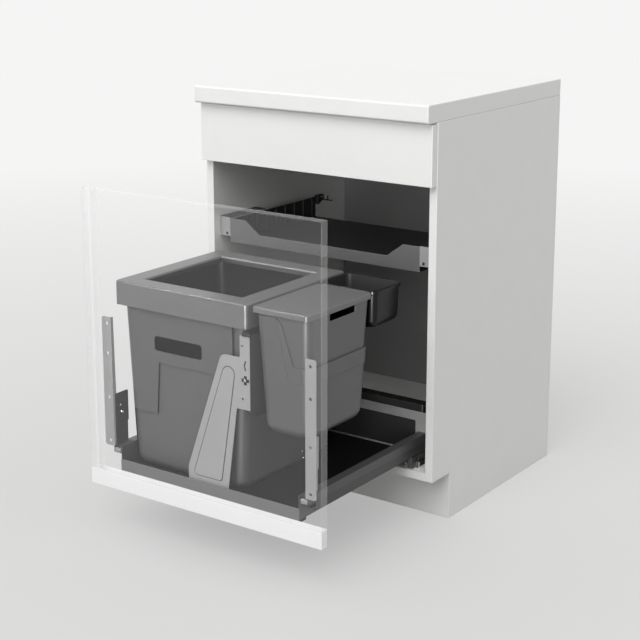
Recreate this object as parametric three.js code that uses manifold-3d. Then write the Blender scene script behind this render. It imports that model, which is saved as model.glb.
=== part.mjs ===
// A kitchen base cabinet with a pull-out waste sorter: a carcass with worktop and fixed fascia, a storage
// shelf under the fascia, floor-mounted runners, and a steel frame behind a tall front panel that carries a
// large bin with a collar, a small lidded bin in a hanging holder, and an open caddy behind it.
//
// Frame: millimetres, +Z up, +X to the right across the front, +Y towards the wall. The floor is Z = 0.
// The pieces are laid out from the cabinet's front plane (Y = 0) and its centre plane (X = 0), with the
// sorter pulled out. The whole group is then moved along Y, so that the middle of its length is the origin.
import * as THREE from "three";
import { mergeVertices } from "three/addons/utils/BufferGeometryUtils.js";
import Module from "manifold-3d";

const wasm = await Module();
wasm.setup();

// ---------------------------------------------------------------------------------------------------
// Driving dimensions
// ---------------------------------------------------------------------------------------------------

// Carcass
const cabinetWidth = 600;
const cabinetDepth = 540;
const carcassHeight = 870;
const boardThickness = 18;
const backThickness = 8;
const serviceGap = 12;
const toeHeight = 104;
const toeDepth = 73;
const railDepth = 100;
const worktopThickness = 38;
const worktopOverhang = 39;
const worktopEdgeRadius = 5;

// Fronts
const frontThickness = 19;
const frontSideGap = 1.5;
const frontEdgeRadius = 1.5;
const fascia = { seat: 0.3, topGap: 3, height: 127 };
const panel = { gap: 2, topGap: 3, overhang: 4 };

// How far the sorter is pulled out, and the room between it and the cabinet
const pulledOut = 380;
const sideClearance = 31;
const rearClearance = 84;

// Small gaps: between pieces that slide, between a piece and its seat, and how far a cut runs past a face
const runningGap = 0.5;
const seatGap = 0.3;
const cutPast = 2;

// Runners, stacked on the bottom panel
const runner = { width: 18, clearance: 1, channelGap: 2, frontGap: 30, endGap: 3, rearClearance: 45 };
const cabinetMember = { height: 28, setback: 25, footWidth: 12, lip: 6 };
const drawerMember = { height: 20, lip: 6 };
const middleMember = { web: 2, trackDepth: 3 };

// Frame of the sorter
const sheet = 1.5;
const frameReach = 1;
const webThickness = 2;
const webLift = 15;
const ledge = { height: 17, overlap: 1, radius: 2 };
const floorFlange = 12;
const frontRail = { height: 26, drop: 2 };
const mat = { thickness: 2.5, margin: 1 };
const rearWall = { rise: 44, radius: 3 };
const rearPad = { sideGap: 8, lift: 3.5, overLedge: 24, thickness: 2, radius: 3 };
const rearCover = { sideGap: 11, depth: 26, lift: 3, height: 59, wall: 2, edgeRadius: 4 };
const foot = { width: 19, depth: 24, height: 6, radius: 3, gap: 1 };

// Fixing strips behind the front panel: holes from the strip's top and from its foot
const strip = { width: 25, height: 280, thickness: 2, radius: 5, overLedge: 4, drop: 3 };
const stripHole = { radius: 3.8, offset: 1, top: 14, upper: 78, lower: 106, bottom: 11 };
const stripFlange = { top: 5, bottom: 10 };

// Side brackets on the ledge: heights above it, and distances behind the front panel
const sideBracket = {
  front: 5,
  upperReach: 42,
  lowerReach: 39,
  step: 44,
  height: 111,
  footWidth: 11,
  radius: 3,
};
const bracketCam = { setback: 23, rise: 80, radius: 4.5, head: 6.5, headThickness: 1.5 };
const bracketPin = { setback: 27.5, rise: 65.6, radius: 2 };

// Large bin and its collar. The cut-outs are placed from the collar's edges and from the bin's top
const smallBinRoom = 158;
const collar = {
  frontGap: 16.5,
  rearGap: 79.5,
  height: 50,
  wall: 3,
  band: 45,
  lipDrop: 12,
  lipDraft: 2,
  lipRadius: 4,
  corner: 9,
  edgeRadius: 3,
};
const bin = {
  height: 395.5,
  ledgeGap: 1.7,
  insetY: 9.5,
  leanX: 0.046,
  leanY: 0.015,
  wall: 2.5,
  corner: 24,
  footRadius: 22,
};
const binHandle = { fromLeft: 96, fromRight: 123, drop: 102, height: 32, radius: 7 };
const binRecess = {
  depth: 4,
  fromLeft: 29,
  kneeLeft: 97,
  kneeRight: 106,
  fromRight: 41,
  kneeDrop: 271,
  drop: 158,
};
const binGroove = { depth: 7, fromRight: 36, width: 8, drop: 166 };

// Centre bracket: distances from its right edge, and drops from its top edge
const centreBracket = {
  frontGap: 8,
  collarGap: 15,
  topDrop: 59,
  footLeft: 160,
  footRight: 59,
  kneeRise: 41.5,
  kneeRadius: 10,
  shoulderLeft: 81,
  shoulderDrop: 74,
  shoulderTop: 45,
  shoulderRadius: 16,
  neckLeft: 24,
  neckRadius: 4,
  notchLeft: 33,
  notchDrop: 150,
  notchRadius: 3,
  topRadius: 2,
};
const centreCam = { fromRight: 11, drop: 90, radius: 5, armLength: 9.5, armWidth: 7.5 };
const bracketHole = { fromRight: 18, upperDrop: 21, lowerDrop: 129, radius: 2.5 };
const bracketSlot = { fromRight: 10, drop: 50, length: 21, width: 3.5, bow: 3 };
const emboss = {
  height: 0.8,
  margin: 14,
  footSideMargin: 17,
  headSideMargin: 12,
  footMargin: 26,
  headRise: 6.5,
  footRadius: 9,
  headRadius: 16,
};

// Carrier plate: drops from the bracket's top edge
const carrier = {
  thickness: 2,
  lowerDrop: 168,
  chamfer: 16,
  ledgeDrop: 26,
  ledgeWidth: 62,
  endGap: 3,
  stepGap: 2,
  radius: 6,
};
const carrierCap = { width: 20, depth: 8, height: 8, radius: 2, overhang: 3 };

// Small bin: the hanging holder, the bucket in it and the lid. The tongue is placed from the holder's left
const holder = {
  leftGap: 16.5,
  rightGap: 12,
  frontGap: 20,
  rearGap: 197,
  height: 244,
  topGap: 4,
  leanX: 0.043,
  leanY: 0.06,
  wall: 2,
  corner: 20,
  footRadius: 24,
};
const holderRim = { drop: 93, height: 32, proud: 1.2, lead: 12 };
const holderTongue = {
  top: 51.5,
  shoulder: 64.5,
  shoulderDrop: 11,
  shoulderRadius: 4,
  foot: 88.5,
  footRadius: 6,
};
const holderStrip = { width: 28, proud: 0.9, offset: 12, drop: 4 };
const hook = { length: 20, thickness: 4, drop: 14, tail: 2.5, fromEnd: 36, play: 0.5 };
const bucket = { clearance: 0.7, wall: 2 };
const bucketSlot = { frontGap: 74.5, rearGap: 59.5, drop: 15 };
const lid = {
  overhangLeft: 5,
  inset: 1.5,
  overhang: 1.5,
  height: 12,
  wall: 2.5,
  corner: 8,
  edgeRadius: 3,
};
const lidSpigot = { depth: 3.5, inset: 3 };

// Caddy on the carrier plate's ledge
const caddy = {
  leftGap: 12,
  rightGap: 12,
  frontGap: 6.5,
  rearGap: 89.5,
  rim: 3,
  rimHeight: 6,
  rimRadius: 2,
  wall: 2,
  leanX: 0.03,
  leanY: 0.03,
  corner: 14,
  footRadius: 18,
};
const caddyFoot = {
  height: 3,
  width: 8,
  fromCurve: 6,
  fromLedgeEnd: 4,
  fromFront: 30,
  fromBack: 28,
};

// Storage shelf
const shelf = {
  setback: 18,
  rearClearance: 175,
  binGap: 11,
  floor: 4,
  wall: 3,
  height: 52,
  lipHeight: 54,
  lipMiddle: 25,
  lipThickness: 4,
  flatWidth: 42,
  slopeRun: 39,
  crestRadius: 4,
  dipRadius: 8,
};
const shelfRib = { pitch: 36, width: 3, depth: 2 };
const endBlock = {
  width: 32,
  depth: 132,
  lift: 13,
  height: 43,
  radius: 8,
  holeSize: 6,
  holeInset: 6,
  holeLift: 3,
};
const rearHook = { width: 10, length: 25, height: 18, prong: 4 };

const arcSteps = 4;
const footSteps = 5;

// ---------------------------------------------------------------------------------------------------
// Places that follow from them
// ---------------------------------------------------------------------------------------------------

const halfWidth = cabinetWidth / 2;
const innerHalf = halfWidth - boardThickness;
const bottomTop = toeHeight + boardThickness;
const backFace = cabinetDepth - serviceGap - backThickness;
const fasciaTop = carcassHeight - fascia.topGap;
const fasciaBottom = fasciaTop - fascia.height;

const panelBack = -panel.gap - pulledOut;
const frameFront = panelBack + sheet + frameReach;
const frameLength = backFace - rearClearance;
const frameBack = frameFront + frameLength;

const ledgeOuter = innerHalf - sideClearance;
const runnerOuter = ledgeOuter - ledge.overlap;
const runnerInner = runnerOuter - runner.width;
const runnerMiddle = (runnerInner + runnerOuter) / 2;
const webOuter = runnerInner - runner.clearance;
const webInner = webOuter - webThickness;

const memberTop = bottomTop + cabinetMember.height;
const drawerBottom = memberTop + runner.channelGap;
const ledgeBottom = drawerBottom + drawerMember.height;
const ledgeTop = ledgeBottom + ledge.height;
const webBottom = bottomTop + webLift;
const trayBottom = webBottom + sheet;
const trayTop = trayBottom + sheet;
const matTop = trayTop + mat.thickness;

const binTop = matTop + bin.height;
const collarTop = binTop + collar.wall;
const bucketTop = collarTop - lid.height;
const holderTop = bucketTop - holder.topGap;
const bracketTop = collarTop - centreBracket.topDrop;
const carrierLedge = bracketTop - carrier.ledgeDrop;
const shelfBottom = collarTop + shelf.binGap;

const collarPlan = plan(
  -ledgeOuter,
  ledgeOuter - smallBinRoom,
  frameFront + collar.frontGap,
  frameBack - collar.rearGap,
  collar.corner,
);
const holderPlan = plan(
  collarPlan.right + holder.leftGap,
  ledgeOuter - holder.rightGap,
  frameFront + holder.frontGap,
  frameBack - holder.rearGap,
  holder.corner,
);
const lidPlan = plan(
  holderPlan.left - lid.overhangLeft,
  holderPlan.right - lid.inset,
  holderPlan.front - lid.overhang,
  holderPlan.back + lid.overhang,
  lid.corner,
);
const caddyPlan = plan(
  collarPlan.right + caddy.leftGap,
  ledgeOuter - caddy.rightGap,
  holderPlan.back + caddy.frontGap,
  frameBack - caddy.rearGap,
  caddy.corner,
);
const bracketRight = collarPlan.right + centreBracket.collarGap;
const plateLeft = bracketRight - carrier.thickness;

// ---------------------------------------------------------------------------------------------------
// Solids
// ---------------------------------------------------------------------------------------------------

// A closed three.js geometry as a solid that can be joined and cut.
function solidOf(geometry) {
  const bare = new THREE.BufferGeometry();
  bare.setAttribute("position", geometry.getAttribute("position"));
  if (geometry.index) bare.setIndex(geometry.index);
  const merged = mergeVertices(bare, 1e-4);
  const vertProperties = new Float32Array(merged.attributes.position.array);
  const triVerts = new Uint32Array(merged.index.array);
  return new wasm.Manifold(new wasm.Mesh({ numProp: 3, vertProperties, triVerts }));
}

function geometryOf(solid) {
  const mesh = solid.getMesh();
  const geometry = new THREE.BufferGeometry();
  geometry.setAttribute("position", new THREE.BufferAttribute(mesh.vertProperties, 3));
  geometry.setIndex(new THREE.BufferAttribute(mesh.triVerts, 1));
  geometry.computeVertexNormals();
  return geometry;
}

function join(solids) {
  return solids.reduce((whole, solid) => whole.add(solid));
}

function cut(solid, tools) {
  return tools.reduce((rest, tool) => rest.subtract(tool), solid);
}

function box(x0, x1, y0, y1, z0, z1) {
  const geometry = new THREE.BoxGeometry(x1 - x0, y1 - y0, z1 - z0);
  geometry.translate((x0 + x1) / 2, (y0 + y1) / 2, (z0 + z1) / 2);
  return solidOf(geometry);
}

// A closed outline through corners [u, v, radius], each with its own fillet.
function outline(corners) {
  const path = new THREE.Shape();
  corners.forEach(([u, v, radius = 0], index) => {
    const before = corners[(index + corners.length - 1) % corners.length];
    const after = corners[(index + 1) % corners.length];
    const corner = new THREE.Vector2(u, v);
    const back = new THREE.Vector2(before[0] - u, before[1] - v).normalize();
    const ahead = new THREE.Vector2(after[0] - u, after[1] - v).normalize();
    const half = Math.acos(THREE.MathUtils.clamp(back.dot(ahead), -1, 1)) / 2;
    if (radius === 0) {
      if (index === 0) path.moveTo(u, v);
      else path.lineTo(u, v);
      return;
    }
    const setback = radius / Math.tan(half);
    const start = corner.clone().addScaledVector(back, setback);
    const end = corner.clone().addScaledVector(ahead, setback);
    const bisector = back.clone().add(ahead).normalize();
    const centre = corner.clone().addScaledVector(bisector, radius / Math.sin(half));
    const clockwise = back.cross(ahead) > 0;
    if (index === 0) path.moveTo(start.x, start.y);
    else path.lineTo(start.x, start.y);
    const startAngle = Math.atan2(start.y - centre.y, start.x - centre.x);
    const endAngle = Math.atan2(end.y - centre.y, end.x - centre.x);
    path.absarc(centre.x, centre.y, radius, startAngle, endAngle, clockwise);
  });
  path.closePath();
  return path;
}

function rectangle(u0, u1, v0, v1, radius = 0) {
  return outline([
    [u0, v0, radius],
    [u1, v0, radius],
    [u1, v1, radius],
    [u0, v1, radius],
  ]);
}

function circle(u, v, radius) {
  const shape = new THREE.Shape();
  shape.absarc(u, v, radius, 0, 2 * Math.PI, false);
  return shape;
}

function extruded(shape, depth, holes) {
  holes.forEach((hole) => shape.holes.push(hole));
  return new THREE.ExtrudeGeometry(shape, { depth, bevelEnabled: false, curveSegments: arcSteps });
}

// An outline in (y, z), carried along X.
function alongX(shape, x0, x1, holes = []) {
  const geometry = extruded(shape, x1 - x0, holes);
  geometry.applyMatrix4(new THREE.Matrix4().set(0, 0, 1, x0, 1, 0, 0, 0, 0, 1, 0, 0, 0, 0, 0, 1));
  return solidOf(geometry);
}

// An outline in (x, z), carried along Y.
function alongY(shape, y0, y1, holes = []) {
  const geometry = extruded(shape, y1 - y0, holes);
  geometry.applyMatrix4(new THREE.Matrix4().set(1, 0, 0, 0, 0, 0, -1, y1, 0, 1, 0, 0, 0, 0, 0, 1));
  return solidOf(geometry);
}

// An outline in (x, y), carried up Z.
function alongZ(shape, z0, z1, holes = []) {
  const geometry = extruded(shape, z1 - z0, holes);
  geometry.translate(0, 0, z0);
  return solidOf(geometry);
}

// The plan of a vessel: its outer edges at the top and its corner radius.
function plan(left, right, front, back, corner) {
  return { left, right, front, back, corner };
}

function insetPlan(outer, amountX, amountY = amountX) {
  const corner = Math.max(outer.corner - Math.min(amountX, amountY), 1);
  return plan(
    outer.left + amountX,
    outer.right - amountX,
    outer.front + amountY,
    outer.back - amountY,
    corner,
  );
}

// A rounded rectangle raised through levels [z, insetX, insetY]. Each level is drawn in on all four sides,
// and the corners keep their radius.
function raised(shapePlan, levels) {
  const { left, right, front, back, corner } = shapePlan;
  const middleX = (left + right) / 2;
  const middleY = (front + back) / 2;
  const geometry = new THREE.ExtrudeGeometry(rectangle(left, right, front, back, corner), {
    depth: levels.length - 1,
    steps: levels.length - 1,
    bevelEnabled: false,
    curveSegments: arcSteps,
  });
  const position = geometry.getAttribute("position");
  for (let index = 0; index < position.count; index += 1) {
    const [z, insetX, insetY] = levels[Math.round(position.getZ(index))];
    const x = position.getX(index);
    const y = position.getY(index);
    position.setXYZ(index, x - Math.sign(x - middleX) * insetX, y - Math.sign(y - middleY) * insetY, z);
  }
  return solidOf(geometry);
}

// Levels of a leaning wall on a rounded foot, from the foot's underside up to the top.
function vesselLevels(bottom, top, leanX, leanY, footRadius) {
  const levels = [];
  for (let step = 0; step <= footSteps; step += 1) {
    const angle = ((step / footSteps) * Math.PI) / 2;
    const z = bottom + footRadius * (1 - Math.cos(angle));
    const foot = footRadius * (1 - Math.sin(angle));
    levels.push([z, leanX * (top - z) + foot, leanY * (top - z) + foot]);
  }
  levels.push([top, 0, 0]);
  return levels;
}

// Levels of a plate or cap whose upper edge is rounded.
function cappedLevels(bottom, top, edgeRadius) {
  const levels = [[bottom, 0, 0]];
  const steps = 3;
  for (let step = 0; step <= steps; step += 1) {
    const angle = ((step / steps) * Math.PI) / 2;
    const inset = edgeRadius * (1 - Math.cos(angle));
    levels.push([top - edgeRadius + edgeRadius * Math.sin(angle), inset, inset]);
  }
  return levels;
}

// The outer form of a vessel between two heights, or with an inset its hollow: the floor rises by the
// inset, and the hollow runs out past the top.
function vesselForm(outer, size, bottom, top, inset = 0) {
  const levels = vesselLevels(bottom + inset, top, size.leanX, size.leanY, size.footRadius - inset);
  if (inset > 0) levels.push([top + cutPast, 0, 0]);
  return raised(insetPlan(outer, inset), levels);
}

function mirrored(solid) {
  return solid.mirror([1, 0, 0]);
}

// ---------------------------------------------------------------------------------------------------
// Materials
// ---------------------------------------------------------------------------------------------------

function finish(color, roughness, metalness = 0) {
  return new THREE.MeshStandardMaterial({ color, roughness, metalness });
}

const whiteBoard = finish(0xf0f0ee, 0.45);
const greyInterior = finish(0x6a6a6a, 0.6);
const frontBoard = finish(0xf2f2f2, 0.35);
frontBoard.transparent = true;
frontBoard.opacity = 0.3;
const greySteel = finish(0x9a9a9a, 0.45, 0.4);
const lightSteel = finish(0xbdbdbd, 0.4, 0.5);
const binPlastic = finish(0x7c7c7c, 0.55);
const collarPlastic = finish(0x868686, 0.55);
const darkPlastic = finish(0x5a5a5a, 0.6);
const blackPlastic = finish(0x161616, 0.6);
const matRubber = finish(0x141414, 0.85);
const zincSteel = finish(0xb0b0b0, 0.35, 0.8);

// ---------------------------------------------------------------------------------------------------
// The scene graph
// ---------------------------------------------------------------------------------------------------

const group = new THREE.Group();

function add(name, solid, material) {
  const mesh = new THREE.Mesh(geometryOf(solid), material);
  mesh.name = name;
  group.add(mesh);
}

// A piece made for the right side, and its mirror image for the left.
function addPair(name, solid, material) {
  add(name + "_right", solid, material);
  add(name + "_left", mirrored(solid), material);
}

// ---------------------------------------------------------------------------------------------------
// Carcass, worktop and fascia
// ---------------------------------------------------------------------------------------------------

function sidePanel() {
  const profile = outline([
    [toeDepth, 0],
    [cabinetDepth, 0],
    [cabinetDepth, carcassHeight],
    [0, carcassHeight],
    [0, toeHeight],
    [toeDepth, toeHeight],
  ]);
  return alongX(profile, innerHalf, halfWidth);
}

function bottomPanel() {
  return box(-innerHalf, innerHalf, 0, backFace, toeHeight, bottomTop);
}

function plinthBoard() {
  return box(-innerHalf, innerHalf, toeDepth, toeDepth + boardThickness, 0, toeHeight);
}

function backPanel() {
  return box(-innerHalf, innerHalf, backFace, backFace + backThickness, toeHeight, carcassHeight);
}

function frontCrossRail() {
  return box(-innerHalf, innerHalf, 0, boardThickness, carcassHeight - railDepth, carcassHeight);
}

function rearCrossRail() {
  const bottom = carcassHeight - boardThickness;
  return box(-innerHalf, innerHalf, backFace - railDepth, backFace, bottom, carcassHeight);
}

function worktop() {
  const profile = outline([
    [-worktopOverhang, carcassHeight, worktopEdgeRadius],
    [cabinetDepth, carcassHeight],
    [cabinetDepth, carcassHeight + worktopThickness],
    [-worktopOverhang, carcassHeight + worktopThickness, worktopEdgeRadius],
  ]);
  return alongX(profile, -halfWidth, halfWidth);
}

function frontBoardOf(back, bottom, top) {
  const half = halfWidth - frontSideGap;
  return alongZ(rectangle(-half, half, back - frontThickness, back, frontEdgeRadius), bottom, top);
}

addPair("side_panel", sidePanel(), whiteBoard);
add("bottom_panel", bottomPanel(), greyInterior);
add("plinth_board", plinthBoard(), whiteBoard);
add("back_panel", backPanel(), greyInterior);
add("front_cross_rail", frontCrossRail(), greyInterior);
add("rear_cross_rail", rearCrossRail(), greyInterior);
add("worktop", worktop(), whiteBoard);
add("fascia_panel", frontBoardOf(-fascia.seat, fasciaBottom, fasciaTop), whiteBoard);

// ---------------------------------------------------------------------------------------------------
// Storage shelf, its end blocks and rear hooks
// ---------------------------------------------------------------------------------------------------

const shelfHalf = innerHalf - endBlock.width;
const shelfBack = backFace - shelf.rearClearance;
const shelfSideTop = shelfBottom + shelf.height;

// The tray is open at the back. Its front lip is high at both ends and dips between them.
function storageShelf() {
  const { setback: front, lipThickness, wall, crestRadius, dipRadius } = shelf;
  const slopeTop = shelfHalf - shelf.flatWidth;
  const slopeFoot = slopeTop - shelf.slopeRun;
  const floorTop = shelfBottom + shelf.floor;
  const lipTop = shelfBottom + shelf.lipHeight;
  const lipMiddle = shelfBottom + shelf.lipMiddle;
  const lip = outline([
    [-shelfHalf, shelfBottom],
    [shelfHalf, shelfBottom],
    [shelfHalf, lipTop],
    [slopeTop, lipTop, crestRadius],
    [slopeFoot, lipMiddle, dipRadius],
    [-slopeFoot, lipMiddle, dipRadius],
    [-slopeTop, lipTop, crestRadius],
    [-shelfHalf, lipTop],
  ]);
  const floor = box(-shelfHalf, shelfHalf, front, shelfBack, shelfBottom, floorTop);
  const side = box(shelfHalf - wall, shelfHalf, front, shelfBack, shelfBottom, shelfSideTop);
  const ribs = [];
  const ribTop = shelfSideTop - shelfRib.width;
  const firstRib = front + lipThickness + shelfRib.pitch / 2;
  for (let y = firstRib; y + shelfRib.width < shelfBack; y += shelfRib.pitch) {
    const outer = shelfHalf - wall;
    const rib = box(outer - shelfRib.depth, outer, y, y + shelfRib.width, floorTop, ribTop);
    ribs.push(rib, mirrored(rib));
  }
  return join([floor, alongY(lip, front, front + lipThickness), side, mirrored(side), ...ribs]);
}

function shelfEndBlock() {
  const { depth, radius, holeSize, holeInset, holeLift } = endBlock;
  const front = shelf.setback;
  const bottom = shelfBottom + endBlock.lift;
  const corners = [
    [shelfHalf, front],
    [innerHalf, front, radius],
    [innerHalf, front + depth],
    [shelfHalf, front + depth],
  ];
  const holeLeft = shelfHalf + holeInset;
  const holeBottom = bottom + holeLift;
  const opening = rectangle(holeLeft, holeLeft + holeSize, holeBottom, holeBottom + holeSize, holeSize / 4);
  const hole = alongY(opening, front - cutPast, front + depth / 2);
  return cut(alongZ(outline(corners), bottom, bottom + endBlock.height), [hole]);
}

// A clip with two prongs that hooks over the rear end of the tray's side wall.
function shelfRearHook() {
  const { width, length, height, prong } = rearHook;
  const top = shelfSideTop;
  const profile = outline([
    [shelfBack, top - height],
    [shelfBack + prong, top - height],
    [shelfBack + length, top - 2 * prong],
    [shelfBack + length, top - prong],
    [shelfBack + 2 * prong, top - prong],
    [shelfBack + 2 * prong, top],
    [shelfBack + length, top],
    [shelfBack + length, top + prong],
    [shelfBack, top + prong],
  ]);
  return alongX(profile, shelfHalf - width, shelfHalf);
}

add("storage_shelf", storageShelf(), darkPlastic);
addPair("shelf_end_block", shelfEndBlock(), whiteBoard);
addPair("shelf_rear_hook", shelfRearHook(), blackPlastic);

// ---------------------------------------------------------------------------------------------------
// Runners
// ---------------------------------------------------------------------------------------------------

// Floor-standing channel with inturned lips and a foot that is screwed to the bottom panel.
function runnerCabinetMember() {
  const profile = outline([
    [runnerInner - cabinetMember.footWidth, bottomTop],
    [runnerOuter, bottomTop],
    [runnerOuter, memberTop],
    [runnerOuter - cabinetMember.lip, memberTop],
    [runnerOuter - cabinetMember.lip, memberTop - sheet],
    [runnerOuter - sheet, memberTop - sheet],
    [runnerOuter - sheet, bottomTop + sheet],
    [runnerInner + sheet, bottomTop + sheet],
    [runnerInner + sheet, memberTop - sheet],
    [runnerInner + cabinetMember.lip, memberTop - sheet],
    [runnerInner + cabinetMember.lip, memberTop],
    [runnerInner, memberTop],
    [runnerInner, bottomTop + sheet],
    [runnerInner - cabinetMember.footWidth, bottomTop + sheet],
  ]);
  return alongY(profile, cabinetMember.setback, backFace - runner.rearClearance);
}

// Channel under the frame's ledge, open downwards.
function runnerDrawerMember() {
  const profile = outline([
    [runnerInner, drawerBottom],
    [runnerInner + drawerMember.lip, drawerBottom],
    [runnerInner + drawerMember.lip, drawerBottom + sheet],
    [runnerInner + sheet, drawerBottom + sheet],
    [runnerInner + sheet, ledgeBottom - sheet],
    [runnerOuter - sheet, ledgeBottom - sheet],
    [runnerOuter - sheet, drawerBottom + sheet],
    [runnerOuter - drawerMember.lip, drawerBottom + sheet],
    [runnerOuter - drawerMember.lip, drawerBottom],
    [runnerOuter, drawerBottom],
    [runnerOuter, ledgeBottom],
    [runnerInner, ledgeBottom],
  ]);
  return alongY(profile, frameFront + runner.frontGap, frameBack - runner.endGap);
}

// The middle member runs in both channels: a head in each, joined by a web through the slots.
function runnerMiddleMember() {
  const inner = runnerInner + sheet + runningGap;
  const outer = runnerOuter - sheet - runningGap;
  const lowFoot = bottomTop + sheet + runningGap;
  const lowTop = memberTop - sheet - runningGap;
  const highFoot = drawerBottom + sheet + runningGap;
  const highTop = ledgeBottom - sheet - runningGap;
  const { web, trackDepth } = middleMember;
  const webLeft = runnerMiddle - web / 2;
  const webRight = runnerMiddle + web / 2;
  const lowMiddle = (lowFoot + lowTop) / 2;
  const highMiddle = (highFoot + highTop) / 2;
  const profile = outline([
    [inner, lowFoot],
    [outer, lowFoot],
    [outer - trackDepth, lowMiddle],
    [outer, lowTop],
    [webRight, lowTop],
    [webRight, highFoot],
    [outer, highFoot],
    [outer - trackDepth, highMiddle],
    [outer, highTop],
    [inner, highTop],
    [inner + trackDepth, highMiddle],
    [inner, highFoot],
    [webLeft, highFoot],
    [webLeft, lowTop],
    [inner, lowTop],
    [inner + trackDepth, lowMiddle],
  ]);
  const front = (cabinetMember.setback + panelBack) / 2 + runner.frontGap;
  const length = frameLength - runner.frontGap - 2 * runner.endGap;
  return alongY(profile, front, front + length);
}

addPair("runner_cabinet_member", runnerCabinetMember(), zincSteel);
addPair("runner_middle_member", runnerMiddleMember(), zincSteel);
addPair("runner_drawer_member", runnerDrawerMember(), zincSteel);

// ---------------------------------------------------------------------------------------------------
// Front panel, fixing strips and side brackets
// ---------------------------------------------------------------------------------------------------

const stripInner = ledgeOuter - strip.overLedge;
const stripOuter = stripInner + strip.width;
const stripBottom = ledgeTop - strip.drop;
const stripTop = stripBottom + strip.height;
const stripBack = panelBack + strip.thickness;
const plateInner = stripInner - sheet;

// A perforated strip on the back of the panel, with a tapering flange along its inner edge.
function panelStrip() {
  const face = rectangle(stripInner, stripOuter, stripBottom, stripTop, strip.radius);
  const heel = box(stripInner, stripInner + strip.radius, panelBack, stripBack, stripBottom, stripTop);
  const column = (stripInner + stripOuter) / 2 - stripHole.offset;
  const heights = [
    stripTop - stripHole.top,
    stripTop - stripHole.upper,
    stripBottom + stripHole.lower,
    stripBottom + stripHole.bottom,
  ];
  const holes = heights.map((z) => circle(column, z, stripHole.radius));
  const flange = outline([
    [stripBack, ledgeTop + runningGap],
    [stripBack + stripFlange.bottom, ledgeTop + runningGap],
    [stripBack + stripFlange.top, stripTop],
    [stripBack, stripTop],
  ]);
  return join([
    alongY(face, panelBack, stripBack, holes),
    heel,
    alongX(flange, stripInner, stripInner + sheet),
  ]);
}

// The bracket stands on the frame's ledge, and the strip's flange is screwed to it.
function sideBracketPlate() {
  const { front, upperReach, lowerReach, height, radius, footWidth } = sideBracket;
  const start = panelBack + front;
  const step = ledgeTop + sideBracket.step;
  const top = ledgeTop + height;
  const profile = outline([
    [start, ledgeTop],
    [stripBack + lowerReach, ledgeTop],
    [stripBack + lowerReach, step],
    [stripBack + upperReach, step],
    [stripBack + upperReach, top, radius],
    [start, top, radius],
  ]);
  const holes = [
    circle(panelBack + bracketCam.setback, ledgeTop + bracketCam.rise, bracketCam.radius + runningGap),
    circle(panelBack + bracketPin.setback, ledgeTop + bracketPin.rise, bracketPin.radius),
  ];
  const footFront = start + strip.radius;
  const footBack = stripBack + lowerReach;
  const footPlate = box(plateInner - footWidth, stripInner, footFront, footBack, ledgeTop, ledgeTop + sheet);
  return join([alongX(profile, plateInner, stripInner, holes), footPlate]);
}

// The eccentric that sets the panel's height: a shank through the plate under a flat head.
function bracketCamDisc() {
  const y = panelBack + bracketCam.setback;
  const z = ledgeTop + bracketCam.rise;
  const head = alongX(circle(y, z, bracketCam.head), plateInner - bracketCam.headThickness, plateInner);
  const shank = alongX(circle(y, z, bracketCam.radius), plateInner - sheet, stripInner);
  return join([head, shank]);
}

const panelBottom = toeHeight - panel.overhang;
const panelTop = fasciaBottom - panel.topGap;

add("front_panel", frontBoardOf(panelBack, panelBottom, panelTop), frontBoard);
addPair("panel_strip", panelStrip(), lightSteel);
addPair("side_bracket", sideBracketPlate(), lightSteel);
addPair("bracket_cam", bracketCamDisc(), zincSteel);

// ---------------------------------------------------------------------------------------------------
// Frame of the sorter
// ---------------------------------------------------------------------------------------------------

// A web with a flange for the tray along its foot and a hollow ledge along its top.
function frameSideRail() {
  const profile = outline([
    [webInner - floorFlange, webBottom],
    [webOuter, webBottom],
    [webOuter, ledgeBottom],
    [ledgeOuter, ledgeBottom],
    [ledgeOuter, ledgeTop, ledge.radius],
    [webInner, ledgeTop, ledge.radius],
    [webInner, webBottom + sheet],
    [webInner - floorFlange, webBottom + sheet],
  ]);
  const hollow = outline([
    [webOuter, ledgeBottom + sheet],
    [ledgeOuter - sheet, ledgeBottom + sheet],
    [ledgeOuter - sheet, ledgeTop - sheet],
    [webOuter, ledgeTop - sheet],
  ]);
  return alongY(profile, frameFront, frameBack, [hollow]);
}

function frameFrontRail() {
  const front = frameFront - sheet;
  const bottom = webBottom - frontRail.drop;
  const flangeHalf = webOuter - foot.width - foot.gap;
  const face = box(-webOuter, webOuter, front, frameFront, bottom, bottom + frontRail.height);
  const flange = box(-flangeHalf, flangeHalf, front, frameFront + floorFlange, bottom, bottom + sheet);
  return join([face, flange]);
}

function frameRearWall() {
  const top = ledgeTop + rearWall.rise;
  const profile = outline([
    [-webInner, webBottom],
    [webInner, webBottom],
    [webInner, ledgeBottom],
    [ledgeOuter, ledgeBottom],
    [ledgeOuter, top, rearWall.radius],
    [-ledgeOuter, top, rearWall.radius],
    [-ledgeOuter, ledgeBottom],
    [-webInner, ledgeBottom],
  ]);
  return alongY(profile, frameBack, frameBack + sheet);
}

function trayFloor() {
  return box(-webInner, webInner, frameFront, frameBack, trayBottom, trayTop);
}

function floorMat() {
  const half = webInner - mat.margin;
  return box(-half, half, frameFront + mat.margin, frameBack - rearPad.thickness, trayTop, matTop);
}

function rearPadPlate() {
  const half = webOuter - rearPad.sideGap;
  const shape = rectangle(-half, half, matTop + rearPad.lift, ledgeTop + rearPad.overLedge, rearPad.radius);
  return alongY(shape, frameBack - rearPad.thickness, frameBack);
}

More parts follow.
